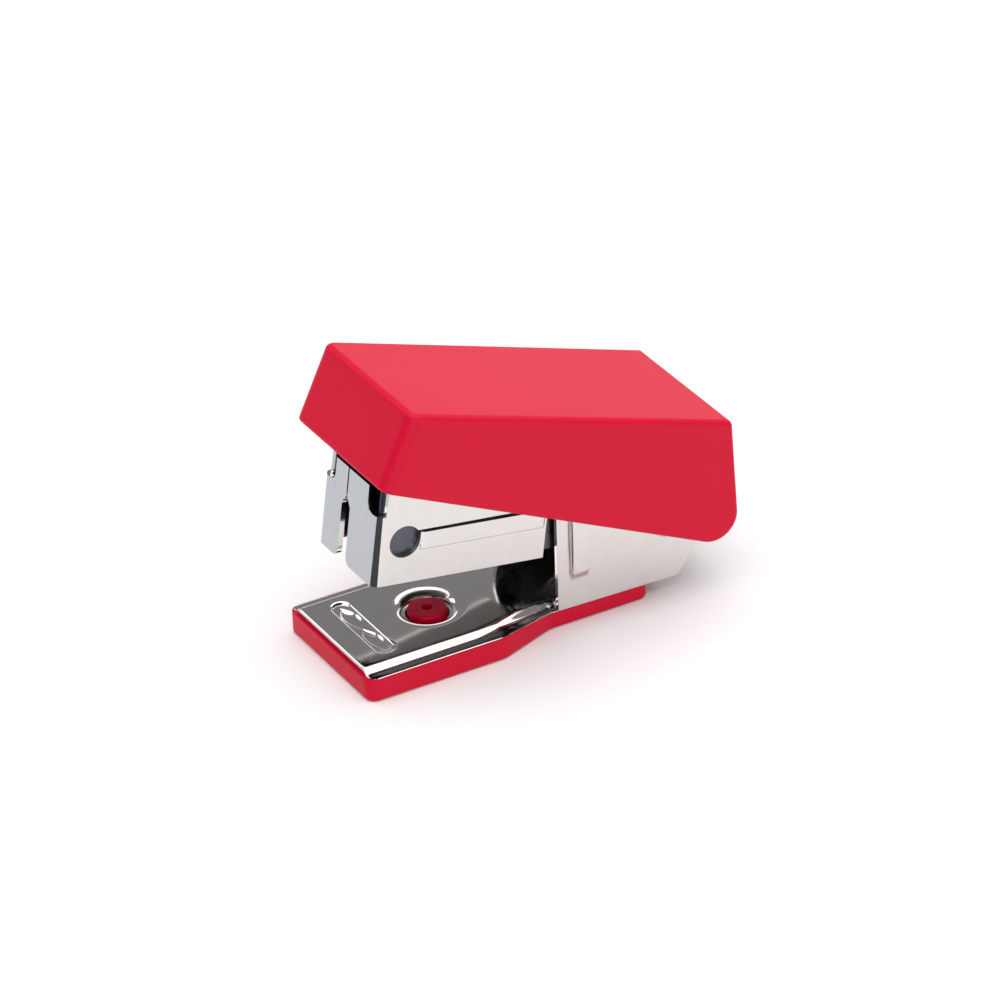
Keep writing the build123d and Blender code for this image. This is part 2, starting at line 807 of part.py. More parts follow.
with BuildPart() as return_spring:
    with BuildSketch(handle_side):
        with BuildLine():
            flat_run = Line(
                (return_spring_rear, roof_height(return_spring_rear) - leaf_depth),
                (return_spring_bend, roof_height(return_spring_bend) - leaf_depth),
            )
            bend = JernArc(start=flat_run @ 1, tangent=flat_run % 1, radius=1.5, arc_size=47)
            arm = PolarLine(start=bend @ 1, length=return_spring_arm, direction=bend % 1)
            JernArc(start=arm @ 1, tangent=arm % 1, radius=1.2, arc_size=-70)
        trace(line_width=leaf_sheet)
    extrude(amount=leaf_half_width, both=True)
return_spring.part.label = "return_spring"
export_step(return_spring.part, "parts/return_spring.step")

with BuildPart() as return_spring_rivets:
    with BuildSketch(web_plane(return_spring_rear - 2.0, frame_sheet + leaf_sheet + 0.02)):
        with GridLocations(1, 2 * rivet_offset, 1, 2):
            Circle(rivet_radius)
    extrude(amount=-rivet_height)
return_spring_rivets.part.label = "return_spring_rivets"
export_step(return_spring_rivets.part, "parts/return_spring_rivets.step")
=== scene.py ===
import json
from math import cos, pi, radians, sin

import bmesh
import bpy
import numpy as np
from mathutils import Matrix, Vector


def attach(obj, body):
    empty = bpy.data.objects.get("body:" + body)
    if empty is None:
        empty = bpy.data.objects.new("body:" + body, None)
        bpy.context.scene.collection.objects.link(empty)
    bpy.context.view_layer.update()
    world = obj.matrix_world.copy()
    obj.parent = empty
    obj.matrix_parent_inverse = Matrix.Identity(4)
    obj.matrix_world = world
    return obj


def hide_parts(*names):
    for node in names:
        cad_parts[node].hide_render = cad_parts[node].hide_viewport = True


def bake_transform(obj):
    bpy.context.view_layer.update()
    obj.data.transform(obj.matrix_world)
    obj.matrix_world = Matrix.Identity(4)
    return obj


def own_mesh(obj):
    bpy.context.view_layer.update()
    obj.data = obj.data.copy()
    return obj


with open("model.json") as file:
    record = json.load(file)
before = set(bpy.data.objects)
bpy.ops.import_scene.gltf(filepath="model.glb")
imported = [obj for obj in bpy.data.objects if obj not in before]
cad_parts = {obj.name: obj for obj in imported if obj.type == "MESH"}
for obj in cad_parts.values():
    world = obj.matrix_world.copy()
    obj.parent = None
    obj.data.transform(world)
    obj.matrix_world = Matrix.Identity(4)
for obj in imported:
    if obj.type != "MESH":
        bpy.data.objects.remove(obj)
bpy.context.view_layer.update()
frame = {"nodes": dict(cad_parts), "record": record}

mm = 0.001


# camera, floor and light

view = {
    "azimuth": -29.19,   # degrees round the upright axis
    "elevation": 30.6,
    "roll": -1.9,
    "distance": 648 * mm,
    "target": (2.46 * mm, -1.89 * mm, 15.2 * mm),
    "lens": 216.0, "sensor": 36, "clipStart": 0.01,
}

studio = {
    "floorHalf": 2.5, "floorColour": (0.95, 0.95, 0.945), "floorRoughness": 0.9,
    "worldColour": (0.26, 0.252, 0.262), "worldStrength": 1.0,
    "aim": (0, 0, 0.015),
    "softboxes": {   # place, size, power
        "overhead": ((0.08, 0.0, 0.6), (0.95, 1.15), 6.4),
        "front": ((-0.42, -0.72, 0.34), (0.5, 0.4), 1.55),
        "rearStrip": ((0.55, 0.62, 0.10), (1.0, 0.16), 0.6),
        "leftRear": ((-0.34, 0.75, 0.58), (0.4, 0.3), 0.6),
    },
    # a glowing upright card: left, right, low, high and y, in metres
    "glow": (-0.6, 0.7, 0.04, 0.30, -0.56), "glowColour": (1, 0.99, 0.97), "glowStrength": 0.9,
    # cards lying on the floor: corners in millimetres, and a grey
    "cardLift": 0.04, "cardRoughness": 0.9,
    "cards": {
        "coolCard": (
            [(-150, 4), (-22, 4), (-22, 120), (-150, 150)],
            (0.62, 0.655, 0.71),
        ),
        "darkCard": (
            [
                (-150, 3.9), (-21, 3.9), (-19.5, -14.8), (-2.5, -14.8),
                (-7, -17.8), (-14, -19.5), (-40, -60), (-150, -60),
            ],
            (0.06, 0.06, 0.065),
        ),
    },
}


def addCamera(view):
    # right, up and back are the camera's own axes; roll turns the first two about the third
    a, e, r = (radians(view[k]) for k in ("azimuth", "elevation", "roll"))
    right = Vector((cos(a), sin(a), 0))
    up = Vector((-sin(a) * sin(e), cos(a) * sin(e), cos(e)))
    back = Vector((sin(a) * cos(e), -cos(a) * cos(e), sin(e)))
    turnedRight = right * cos(r) + up * sin(r)
    turnedUp = up * cos(r) - right * sin(r)
    place = Vector(view["target"]) + back * view["distance"]
    data = bpy.data.cameras.new("camera")
    data.lens = view["lens"]
    data.sensor_width = view["sensor"]
    data.clip_start = view["clipStart"]
    camera = bpy.data.objects.new("camera", data)
    turned = Matrix((turnedRight, turnedUp, back)).transposed().to_4x4()
    camera.matrix_world = Matrix.Translation(place) @ turned
    bpy.context.collection.objects.link(camera)
    bpy.context.scene.camera = camera


def addSoftbox(name, place, size, power, aim):
    data = bpy.data.lights.new(name, "AREA")
    data.shape = "RECTANGLE"
    data.size, data.size_y = size
    data.energy = power
    box = bpy.data.objects.new(name, data)
    box.location = place
    box.rotation_euler = (Vector(aim) - Vector(place)).to_track_quat("-Z", "Y").to_euler()
    bpy.context.collection.objects.link(box)


def newMaterial(name):
    material = bpy.data.materials.new(name)
    material.use_nodes = True
    tree = material.node_tree
    return material, tree.nodes, tree.links, tree.nodes["Principled BSDF"]


def addPlane(name, corners, colour, roughness):
    # one flat face of the studio; its shader is given back for the card that glows
    mesh = bpy.data.meshes.new(name)
    mesh.from_pydata(corners, [], [tuple(range(len(corners)))])
    plane = bpy.data.objects.new(name, mesh)
    bpy.context.collection.objects.link(plane)
    material, _, _, shader = newMaterial(name)
    shader.inputs["Base Color"].default_value = (*colour, 1)
    shader.inputs["Roughness"].default_value = roughness
    shader.inputs["Specular IOR Level"].default_value = 0.0
    mesh.materials.append(material)
    return plane, shader


def hideFromCamera(card):
    # a card that only mirror-like surfaces see
    card.visible_camera = False
    card.visible_diffuse = False
    card.visible_shadow = False


def addStudio(studio):
    s = studio["floorHalf"]
    floorCorners = [(-s, -s, 0), (s, -s, 0), (s, s, 0), (-s, s, 0)]
    addPlane("floor", floorCorners, studio["floorColour"], studio["floorRoughness"])
    for name, (corners, grey) in studio["cards"].items():
        corners = [(x * mm, y * mm, studio["cardLift"] * mm) for x, y in corners]
        card, _ = addPlane(name, corners, grey, studio["cardRoughness"])
        hideFromCamera(card)
    left, right, low, high, y = studio["glow"]
    glowCorners = [(left, y, low), (right, y, low), (right, y, high), (left, y, high)]
    glow, shader = addPlane("glowCard", glowCorners, (0, 0, 0), 1.0)
    shader.inputs["Emission Color"].default_value = (*studio["glowColour"], 1)
    shader.inputs["Emission Strength"].default_value = studio["glowStrength"]
    hideFromCamera(glow)
    world = bpy.data.worlds.new("studio")
    world.use_nodes = True
    bpy.context.scene.world = world
    background = world.node_tree.nodes["Background"]
    background.inputs[0].default_value = (*studio["worldColour"], 1)
    background.inputs[1].default_value = studio["worldStrength"]
    for name, (place, size, power) in studio["softboxes"].items():
        addSoftbox(name, place, size, power, studio["aim"])


addCamera(view)
addStudio(studio)
bpy.context.scene.view_settings.view_transform = "Standard"
print("studio ready")


# shared shape helpers

mesher = {
    "merge": 0.002, "collapse": 0.0005,   # distances in millimetres
    "creaseAngle": 35, "bevelAngle": 50, "bevelSegments": 2,
}


def smooth(t):
    # smoothstep: 3 t squared minus 2 t cubed, between 0 and 1
    t = np.clip(t, 0, 1)
    return t * t * (3 - 2 * t)


def roundedDrop(q):
    # a quarter ellipse: 1 minus the root of 1 minus q squared, from 0 at q = 0 to 1 at q = 1
    return 1 - np.sqrt(1 - np.clip(q, 0, 1) ** 2)


def stops(*runs):
    # each run is (start, end, steps); the runs are laid end to end without doubled values
    parts = [np.linspace(a, b, n, endpoint=False) for a, b, n in runs]
    return np.concatenate(parts + [[runs[-1][1]]])


def roundedOutline(corners, radii, arcSteps, runStep):
    # a closed polygon whose corners are arcs: each arc is tangent to both sides, from
    # centre + radius * (cos, sin), and the straight runs between arcs are evenly split
    count = len(corners)
    arcs = []
    for k in range(count):
        before, here, after = (np.array(corners[(k + d) % count], float) for d in (-1, 0, 1))
        toBefore = (before - here) / np.linalg.norm(before - here)
        toAfter = (after - here) / np.linalg.norm(after - here)
        half = np.arccos(np.clip(toBefore @ toAfter, -1, 1)) / 2
        reach = radii[k] / np.tan(half)
        middle = toBefore + toAfter
        centre = here + middle / np.linalg.norm(middle) * radii[k] / np.sin(half)
        first = here + toBefore * reach - centre
        last = here + toAfter * reach - centre
        start = np.arctan2(first[1], first[0])
        turn = (np.arctan2(last[1], last[0]) - start + np.pi) % (2 * np.pi) - np.pi
        angle = start + turn * np.linspace(0, 1, arcSteps)
        arcs.append(centre + radii[k] * np.stack([np.cos(angle), np.sin(angle)], 1))
    points = []
    for k in range(count):
        points.append(arcs[k])
        a, b = arcs[k][-1], arcs[(k + 1) % count][0]
        steps = max(2, int(np.linalg.norm(b - a) / runStep))
        points.append(a + (b - a) * np.linspace(0, 1, steps + 1)[1:-1, None])
    return np.concatenate(points)


def gridFaces(rows, columns, first=0, closed=False):
    # quads between neighbouring rows and columns of a grid of vertices
    lastRow = rows if closed else rows - 1
    i, j = np.meshgrid(np.arange(lastRow), np.arange(columns - 1), indexing="ij")
    here, after = i * columns + j, (i + 1) % rows * columns + j
    return np.stack([here, after, after + 1, here + 1], -1).reshape(-1, 4) + first


def buildPiece(name, vertices, faces, isInner, material, bevel=0.0, innerMaterial=None):
    # vertices come in millimetres; doubles are merged and the faces turned outwards
    mesh = bpy.data.meshes.new(name)
    mesh.from_pydata(np.asarray(vertices) * mm, [], [tuple(f) for f in faces])
    mesh.materials.append(material)
    if innerMaterial:
        mesh.materials.append(innerMaterial)
        mesh.polygons.foreach_set("material_index", isInner)
    work = bmesh.new()
    work.from_mesh(mesh)
    bmesh.ops.remove_doubles(work, verts=work.verts, dist=mesher["merge"] * mm)
    bmesh.ops.dissolve_degenerate(work, edges=work.edges, dist=mesher["collapse"] * mm)
    bmesh.ops.recalc_face_normals(work, faces=work.faces)
    work.to_mesh(mesh)
    work.free()
    mesh.polygons.foreach_set("use_smooth", np.ones(len(mesh.polygons), bool))
    mesh.set_sharp_from_angle(angle=radians(mesher["creaseAngle"]))
    piece = bpy.data.objects.new(name, mesh)
    bpy.context.collection.objects.link(piece)
    if bevel:
        edge = piece.modifiers.new("softEdge", "BEVEL")
        edge.width = bevel * mm
        edge.segments = mesher["bevelSegments"]
        edge.limit_method = "ANGLE"
        edge.angle_limit = radians(mesher["bevelAngle"])
        edge.harden_normals = True
    return piece


def shell(outer, inner, closed=False, openEnds=(False, False), skipOuter=None, skipRims=(None, None)):
    # two grids of the same size become one closed skin, with strips along their edges;
    # open ends and skipped rims are where another patch carries on
    rows, columns, _ = outer.shape
    half = rows * columns
    vertices = np.concatenate([outer.reshape(-1, 3), inner.reshape(-1, 3)])
    skins = [gridFaces(rows, columns, 0, closed), gridFaces(rows, columns, half, closed)[:, ::-1]]
    rims = []
    i = np.arange(rows if closed else rows - 1)
    for j, skip in ((0, skipRims[0]), (columns - 1, skipOuter if closed else skipRims[1])):
        k = i if skip is None else i[~skip[:len(i)]]
        here, after = k * columns + j, (k + 1) % rows * columns + j
        rims.append(np.stack([here, after, half + after, half + here], -1))
    if not closed:
        j = np.arange(columns - 1)
        for i, isOpen in ((0, openEnds[0]), (rows - 1, openEnds[1])):
            if not isOpen:
                here = i * columns + j
                rims.append(np.stack([here, here + 1, half + here + 1, half + here], -1))
    rims = np.concatenate(rims)
    isInner = np.repeat([0, 1, 0], [len(skins[0]), len(skins[1]), len(rims)])
    return vertices, np.concatenate([*skins, rims]), isInner


def joined(*parts):
    # several sets of vertices, faces and inner marks as one
    vertices, faces, isInner = zip(*parts)
    starts = np.cumsum([0] + [len(v) for v in vertices[:-1]])
    faces = np.concatenate([f + n for f, n in zip(faces, starts)])
    return np.concatenate(vertices), faces, np.concatenate(isInner)


# materials

plating = {
    "patchScale": 700, "patchDetail": 4, "smoothest": 0.6, "roughest": 1.5, "tint": 0.9,
    "rippleScale": 160, "rippleDetail": 1, "rippleHeight": 0.02 * mm,
}
moulding = {
    "cloudScale": 90, "cloudDetail": 3, "shade": 0.93, "specular": 0.17,
    "grainScale": 9000, "grainDetail": 2, "smoothest": 0.34, "roughest": 0.46,
    "bumpStrength": 0.12, "bumpHeight": 0.02 * mm,
}


def addNoise(nodes, links, coord, scale, detail):
    noise = nodes.new("ShaderNodeTexNoise")
    noise.inputs["Scale"].default_value = scale
    noise.inputs["Detail"].default_value = detail
    links.new(coord.outputs["Object"], noise.inputs["Vector"])
    return noise.outputs["Fac"]


def mixShades(nodes, links, pattern, colour, share, target):
    # the colour, and the same colour times share, by the pattern
    shade = nodes.new("ShaderNodeMix")
    shade.data_type = "RGBA"
    shade.inputs["A"].default_value = (*colour, 1)
    shade.inputs["B"].default_value = (*[c * share for c in colour], 1)
    links.new(pattern, shade.inputs["Factor"])
    links.new(shade.outputs["Result"], target)


def spreadRoughness(nodes, links, pattern, low, high, target):
    spread = nodes.new("ShaderNodeMapRange")
    spread.inputs["To Min"].default_value = low
    spread.inputs["To Max"].default_value = high
    links.new(pattern, spread.inputs["Value"])
    links.new(spread.outputs["Result"], target)


def addBump(nodes, links, pattern, strength, height, target):
    bump = nodes.new("ShaderNodeBump")
    bump.inputs["Strength"].default_value = strength
    bump.inputs["Distance"].default_value = height
    links.new(pattern, bump.inputs["Height"])
    links.new(bump.outputs["Normal"], target)


def steelMaterial(name, colour, roughness, waviness, p=plating):
    # plated sheet: the roughness varies in fine patches and the sheet has a faint long ripple
    material, nodes, links, shader = newMaterial(name)
    shader.inputs["Metallic"].default_value = 1.0
    coord = nodes.new("ShaderNodeTexCoord")
    patches = addNoise(nodes, links, coord, p["patchScale"], p["patchDetail"])
    low, high = roughness * p["smoothest"], roughness * p["roughest"]
    spreadRoughness(nodes, links, patches, low, high, shader.inputs["Roughness"])
    mixShades(nodes, links, patches, colour, p["tint"], shader.inputs["Base Color"])
    ripple = addNoise(nodes, links, coord, p["rippleScale"], p["rippleDetail"])
    addBump(nodes, links, ripple, waviness, p["rippleHeight"], shader.inputs["Normal"])
    return material


def plasticMaterial(name, colour, p=moulding):
    # moulded plastic: satin gloss with a fine spark-eroded texture and slight shade changes
    material, nodes, links, shader = newMaterial(name)
    coord = nodes.new("ShaderNodeTexCoord")
    cloud = addNoise(nodes, links, coord, p["cloudScale"], p["cloudDetail"])
    mixShades(nodes, links, cloud, colour, p["shade"], shader.inputs["Base Color"])
    grain = addNoise(nodes, links, coord, p["grainScale"], p["grainDetail"])
    spreadRoughness(nodes, links, grain, p["smoothest"], p["roughest"], shader.inputs["Roughness"])
    addBump(nodes, links, grain, p["bumpStrength"], p["bumpHeight"], shader.inputs["Normal"])
    shader.inputs["Specular IOR Level"].default_value = p["specular"]
    return material


plated = steelMaterial("platedSteel", (0.72, 0.71, 0.69), 0.09, 0.12)
# painted shade: a dark copy of the plated steel for the casing's inner skin and its floor, inside the magazine
# where shade falls
insideShade = steelMaterial("insideShadePlate", (0.16, 0.155, 0.155), 0.35, 0.2)
plain = steelMaterial("zincSteel", (0.55, 0.55, 0.56), 0.28, 0.2)
spring = steelMaterial("springSteel", (0.36, 0.36, 0.38), 0.25, 0.2)
# dark steel for the dark_steel slot, and painted shade on the rail and driver blade below
blackenedAndShade = steelMaterial("blackenedAndShadeSteel", (0.115, 0.12, 0.14), 0.3, 0.2)
redPlastic = plasticMaterial("redPlastic", (0.675, 0.0015, 0.031))
blackPlastic = plasticMaterial("blackPlastic", (0.03, 0.03, 0.033))
finishes = {
    "red_plastic": redPlastic, "plated_steel": plated, "plain_steel": plain,
    "spring_steel": spring, "dark_steel": blackenedAndShade, "dark_plastic": blackPlastic,
}
paintedShadeFinish = {"staple_rail": blackenedAndShade, "driver_blade": blackenedAndShade}   # the rail and the driver blade take the dark steel as painted shade, for they sit in shade inside the magazine
slotOf = {part["node"]: part["material_slot"] for part in frame["record"]["subparts"]}
for name, node in frame["nodes"].items():
    node.data.materials.clear()
    node.data.materials.append(paintedShadeFinish.get(name, finishes[slotOf[name]]))
print("materials ready")


# base plate: one pressed sheet with a tray, a crater, an anvil pocket and two uprights

plate = {
    "front": -17.95, "frontCorner": 0.9, "noseWidening": 0.05, "split": -10.6,
    "waistStart": -1.4, "waistEnd": 5.6, "uprightFront": 6.7, "rear": 22.0,
    "halfWidth": 8.98, "waistHalfWidth": 6.62, "floorHalfWidth": 5.95,
    "flatHalfWidth": 6.95, "flatWaistHalfWidth": 5.1, "flatWaistLead": 2.6,
    "stepIn": 0.02, "stepLength": 0.05, "bevel": 0.06,
    "outlineRadii": [0.001, 3.0, 3.0, 0.02, 0.02, 0.5, 0.5, 0.02, 0.02, 3.0, 3.0, 0.001],
    "outlineArc": 7, "outlineRun": 0.3,
    # heights of the sheet and of the sole below it
    "top": 3.6, "rearTop": 2.7, "fallStart": 0.5, "fallLength": 9.0, "sheet": 0.6, "lip": 0.08,
    "frontRoll": 0.14, "frontRollStart": 0.35, "frontRollLength": 0.36,
    "soleTop": 2.7, "soleMiddleTop": 2.1, "soleRearTop": 1.8, "soleRear": 18.0, "underGap": 0.02,
    # the flank: a ramp with a slight wave and then a rounded edge, as shares of its width and drop
    "rampStart": 0.03, "rampShare": 0.5, "rampDrop": 0.86, "rampWave": 0.06,
    "edgeStart": 0.72, "edgeShare": 0.28, "edgeDrop": 0.14, "flankOverrun": 0.2,
    # the crater round the stud
    "stud": (-6.0, 0.0), "hole": 2.45, "rimRings": (2.6, 2.74), "craterTop": 4.5, "craterFoot": 2.78,
    "craterFloor": 2.72, "mouthWidth": 1.8, "mouthStart": 0.02, "mouthRings": 18,
    "studHollow": 4.3, "studHollowTop": 2.02,
    # the anvil pocket and its two grooves
    "pocketX": -14.0, "pocketHalfLength": 6.2, "pocketHalfWidth": 1.5, "pocketDepth": 0.26, "pocketEdge": 0.5,
    "grooveY": 2.45, "grooveHalfLength": 2.5, "grooveHalfWidth": 0.95, "grooveDepth": 0.3, "grooveRound": 0.75,
    # how finely the sheet is divided
    "fineHalfWidth": 7.1, "coarseStart": 7.2, "fineColumns": 119, "coarseColumns": 22,
    "noseRows": [(0, 0.4, 8), (0.4, 1.6, 10), (1.6, 5.9, 58)], "lastRows": 8,
    "spokes": [(0, 0.6, 16), (0.6, 1.0, 30)],
}


def soleTopAt(x, p=plate):
    # level to the waist, then falling in a straight line to the tail
    places = [p["waistStart"], p["uprightFront"], p["soleRear"]]
    return np.interp(x, places, [p["soleTop"], p["soleMiddleTop"], p["soleRearTop"]])


def fromStud(x, y, p=plate):
    return np.hypot(x - p["stud"][0], y - p["stud"][1])


def plateHeight(x, y, p=plate):
    # flat height, less the sloping flank, the crater's rounded mouth, the pocket and its grooves
    flat = p["top"] - (p["top"] - p["rearTop"]) * smooth((x - p["fallStart"]) / p["fallLength"])
    edge = np.interp(x, [p["waistStart"], p["waistEnd"]], [p["halfWidth"], p["waistHalfWidth"]])
    narrowing = [p["waistStart"] - p["flatWaistLead"], p["waistEnd"]]
    inner = np.interp(x, narrowing, [p["flatHalfWidth"], p["flatWaistHalfWidth"]])
    lip = soleTopAt(x) + p["lip"]
    q = np.clip((np.abs(y) - inner) / (edge - inner), 0, 1)
    ramp = np.clip((q - p["rampStart"]) / p["rampShare"], 0, 1)
    slope = p["rampDrop"] * (ramp - p["rampWave"] * np.sin(2 * np.pi * ramp))
    fall = slope + p["edgeDrop"] * roundedDrop((q - p["edgeStart"]) / p["edgeShare"])
    z = np.where(x < p["uprightFront"] + p["flankOverrun"], flat + (lip - flat) * fall, flat)
    mouth = roundedDrop((p["craterTop"] - fromStud(x, y)) / (p["craterTop"] - p["craterFoot"]))
    z = z + (p["craterFloor"] - p["top"]) * mouth
    dx = np.abs(x - p["pocketX"])
    dy = np.maximum(np.abs(y) - (p["pocketHalfLength"] - p["pocketHalfWidth"]), 0)
    inside = p["pocketHalfWidth"] - np.hypot(dx, dy)
    z = z - p["pocketDepth"] * roundedDrop(inside / p["pocketEdge"])
    leaf = np.clip(1 - ((np.abs(y) - p["grooveY"]) / p["grooveHalfLength"]) ** 2, 0.001, 1)
    bowl = 1 - ((x - p["pocketX"]) / (p["grooveHalfWidth"] * leaf)) ** 2
    z = z - p["grooveDepth"] * np.clip(bowl, 0, 1) ** p["grooveRound"] * np.sqrt(leaf)
    return z - p["frontRoll"] * roundedDrop((p["front"] + p["frontRollStart"] - x) / p["frontRollLength"])


def sheetPair(x, y, p=plate):
    # the sheet's upper and lower skins over the same points
    z = plateHeight(x, y)
    under = np.where(fromStud(x, y) < p["studHollow"], p["studHollowTop"], soleTopAt(x) + p["underGap"])
    return np.stack([x, y, z], -1), np.stack([x, y, np.maximum(z - p["sheet"], under)], -1)


def splitLine(p=plate):
    # places across the line where the two patches meet, closer together over the flat top
    outside = np.linspace(-p["halfWidth"], -p["coarseStart"], p["coarseColumns"])
    middle = np.linspace(-p["fineHalfWidth"], p["fineHalfWidth"], p["fineColumns"])
    return np.concatenate([outside, middle, -outside[::-1]])


def frontPatch(p=plate):
    # a grid across the nose: y = split line's y * edge(x) / half width, the edge rounded at the corners
    reach = stops(*p["noseRows"], (p["noseRows"][-1][1], p["split"] - p["front"], p["lastRows"]))
    x = p["front"] + reach
    corner = np.clip(p["frontCorner"] - reach, 0, None)
    edge = p["halfWidth"] - p["frontCorner"] + np.sqrt(p["frontCorner"] ** 2 - corner ** 2)
    edge[0] = p["halfWidth"] - p["frontCorner"] + p["noseWidening"]
    y = splitLine()[None, :] * edge[:, None] / p["halfWidth"]
    top, bottom = sheetPair(x[:, None] + 0 * y, y)
    return shell(top, bottom, openEnds=(False, True))


def rearPatch(p=plate):
    # lines from the hole's circle to the outline, ring by ring round the crater first
    nearSide = [
        (p["split"], -p["halfWidth"]), (p["waistStart"], -p["halfWidth"]),
        (p["waistEnd"], -p["waistHalfWidth"]), (p["uprightFront"], p["stepIn"] - p["waistHalfWidth"]),
        (p["uprightFront"] + p["stepLength"], -p["floorHalfWidth"]), (p["rear"], -p["floorHalfWidth"]),
    ]
    corners = nearSide + [(x, -y) for x, y in nearSide[::-1]]
    run = roundedOutline(corners, p["outlineRadii"], p["outlineArc"], p["outlineRun"])
    # the points on the split line make way for the other patch's own
    run = run[np.abs(run[:, 0] - p["split"]) >= 0.02]
    run = np.roll(run, -np.argmax(np.hypot(*(np.roll(run, 1, 0) - run).T)), 0)
    line = splitLine()[::-1]
    outline = np.concatenate([run, np.stack([np.full_like(line, p["split"]), line], 1)])
    stud = np.array(p["stud"])
    spoke = outline - stud
    way = spoke / np.linalg.norm(spoke, axis=1)[:, None]
    mouth = 1 - np.cos(np.linspace(p["mouthStart"], pi / 2, p["mouthRings"]))
    rings = np.concatenate([[p["hole"], *p["rimRings"]], p["craterFoot"] + p["mouthWidth"] * mouth])
    first = stud + way[:, None] * rings[None, :, None]
    edge = first[:, -1:]
    t = stops(*p["spokes"])[1:]
    xy = np.concatenate([first, edge + (outline[:, None] - edge) * t[None, :, None]], 1)
    top, bottom = sheetPair(xy[..., 0], xy[..., 1])
    skip = np.zeros(len(outline), bool)
    skip[len(run):-1] = True
    return shell(top, bottom, closed=True, skipOuter=skip)


upright = {
    "inner": 6.0, "outer": 6.6, "bevel": 0.07,
    "corners": [
        (6.7, 2.12), (21.9, 1.75), (24.3, 4.9), (25.1, 8.5),
        (24.6, 12.6), (20.7, 14.9), (11.0, 15.55), (6.7, 15.55),
    ],
    "radii": [0.2, 0.5, 1.2, 2.0, 2.5, 3.0, 2.0, 1.2],
    "ribFront": 8.1, "ribRear": 10.5, "ribRise": 0.66, "ribFrontEdge": 0.28, "ribRearEdge": 0.14,
    "ribBottom": 5.55, "ribRamp": 1.0, "ribTop": 14.6, "ribTopRamp": 0.4,
    "middle": (14.0, 8.5), "spokes": [(0.0, 0.25, 3), (0.25, 0.95, 74), (0.95, 1.0, 4)],
    "outlineArc": 7, "outlineRun": 0.22,
}


def uprightShell(side, u=upright):
    # a star of lines from the middle to the outline; the rib lifts both faces outwards
    outline = roundedOutline(u["corners"], u["radii"], u["outlineArc"], u["outlineRun"])
    middle = np.array(u["middle"])
    t = stops(*u["spokes"])
    xz = middle + (outline - middle)[:, None] * t[None, :, None]
    x, z = xz[..., 0], xz[..., 1]
    along = np.clip((z - u["ribBottom"]) / u["ribRamp"], 0, 1) * smooth((u["ribTop"] - z) / u["ribTopRamp"])
    across = smooth((x - u["ribFront"]) / u["ribFrontEdge"]) * smooth((u["ribRear"] - x) / u["ribRearEdge"])
    rise = side * u["ribRise"] * across * along
    outer = np.stack([x, side * u["outer"] + rise, z], -1)
    inner = np.stack([x, side * u["inner"] + rise, z], -1)
    return shell(outer, inner, closed=True)


def addPlate():
    piece = buildPiece("pressedPlate", *joined(frontPatch(), rearPatch()), plated, bevel=plate["bevel"])
    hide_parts("base_plate")
    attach(piece, "base")
    for name, side in (("nearUpright", -1), ("farUpright", 1)):
        wall = buildPiece(name, *uprightShell(side), plated, bevel=upright["bevel"])
        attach(wall, "base")


addPlate()
print("base plate ready")


# magazine casing: one sheet on each side, bent round the front corner into a tab

casing = {
    "tilt": 8.2, "pivot": (20.7, 10.5), "rear": -15.2, "front": -36.4, "halfWidth": 6.1, "corner": 1.0,
    "sheet": 0.6, "bottom": -3.54, "top": 7.6, "bevel": 0.05,
    # the round hole, the slit behind it and the raised strip below the slit
    "holeU": -32.87, "holeV": 1.48, "hole": 1.88, "slitLow": 2.36, "slitHigh": 2.62, "slitReach": 0.8,
    "slitWidening": 0.25, "slitLength": 14.0,
    "stripLow": 0.27, "stripRise": 0.2, "stripEdge": 0.1, "crease": 0.1, "creaseWidth": 0.055,
    "stripFrontRamp": 0.5, "stripRearStart": 0.25, "stripRearRamp": 0.3, "stripBand": 0.2,
    # the seam between the tabs, which widens downwards into a slot
    "seamY": 0.85, "seam": 0.12, "slot": 0.87, "slotTop": 3.9, "slotRamp": (-0.7, 0.25),
    # the tab's lower corner beside the slot
    "tabRound": 1.1, "tabRise": 1.0, "tabLift": 0.03,
    # the notch in the upper corner: places before its inner end, and heights over its bottom
    "notchInner": 3.5, "notchBottom": 4.7, "notchBack": 1.0,
    "notchBackLip": 0.1, "notchRound": (1.1, 0.3), "notchRoundRise": (0.25, 0.9),
    "floorFront": -31.5, "floorInset": 0.3, "floorLift": 0.02, "floorCrown": 0.03, "floorThinning": 0.06,
    "floorRows": 24, "floorColumns": 15,
}


def tilted(u, y, v, c=casing):
    # from a tilted part's own u and v, measured from its pivot, to the row frame
    a = radians(c["tilt"])
    x = c["pivot"][0] + u * cos(a) + v * sin(a)
    z = c["pivot"][1] - u * sin(a) + v * cos(a)
    return np.stack([x, y, z], -1)


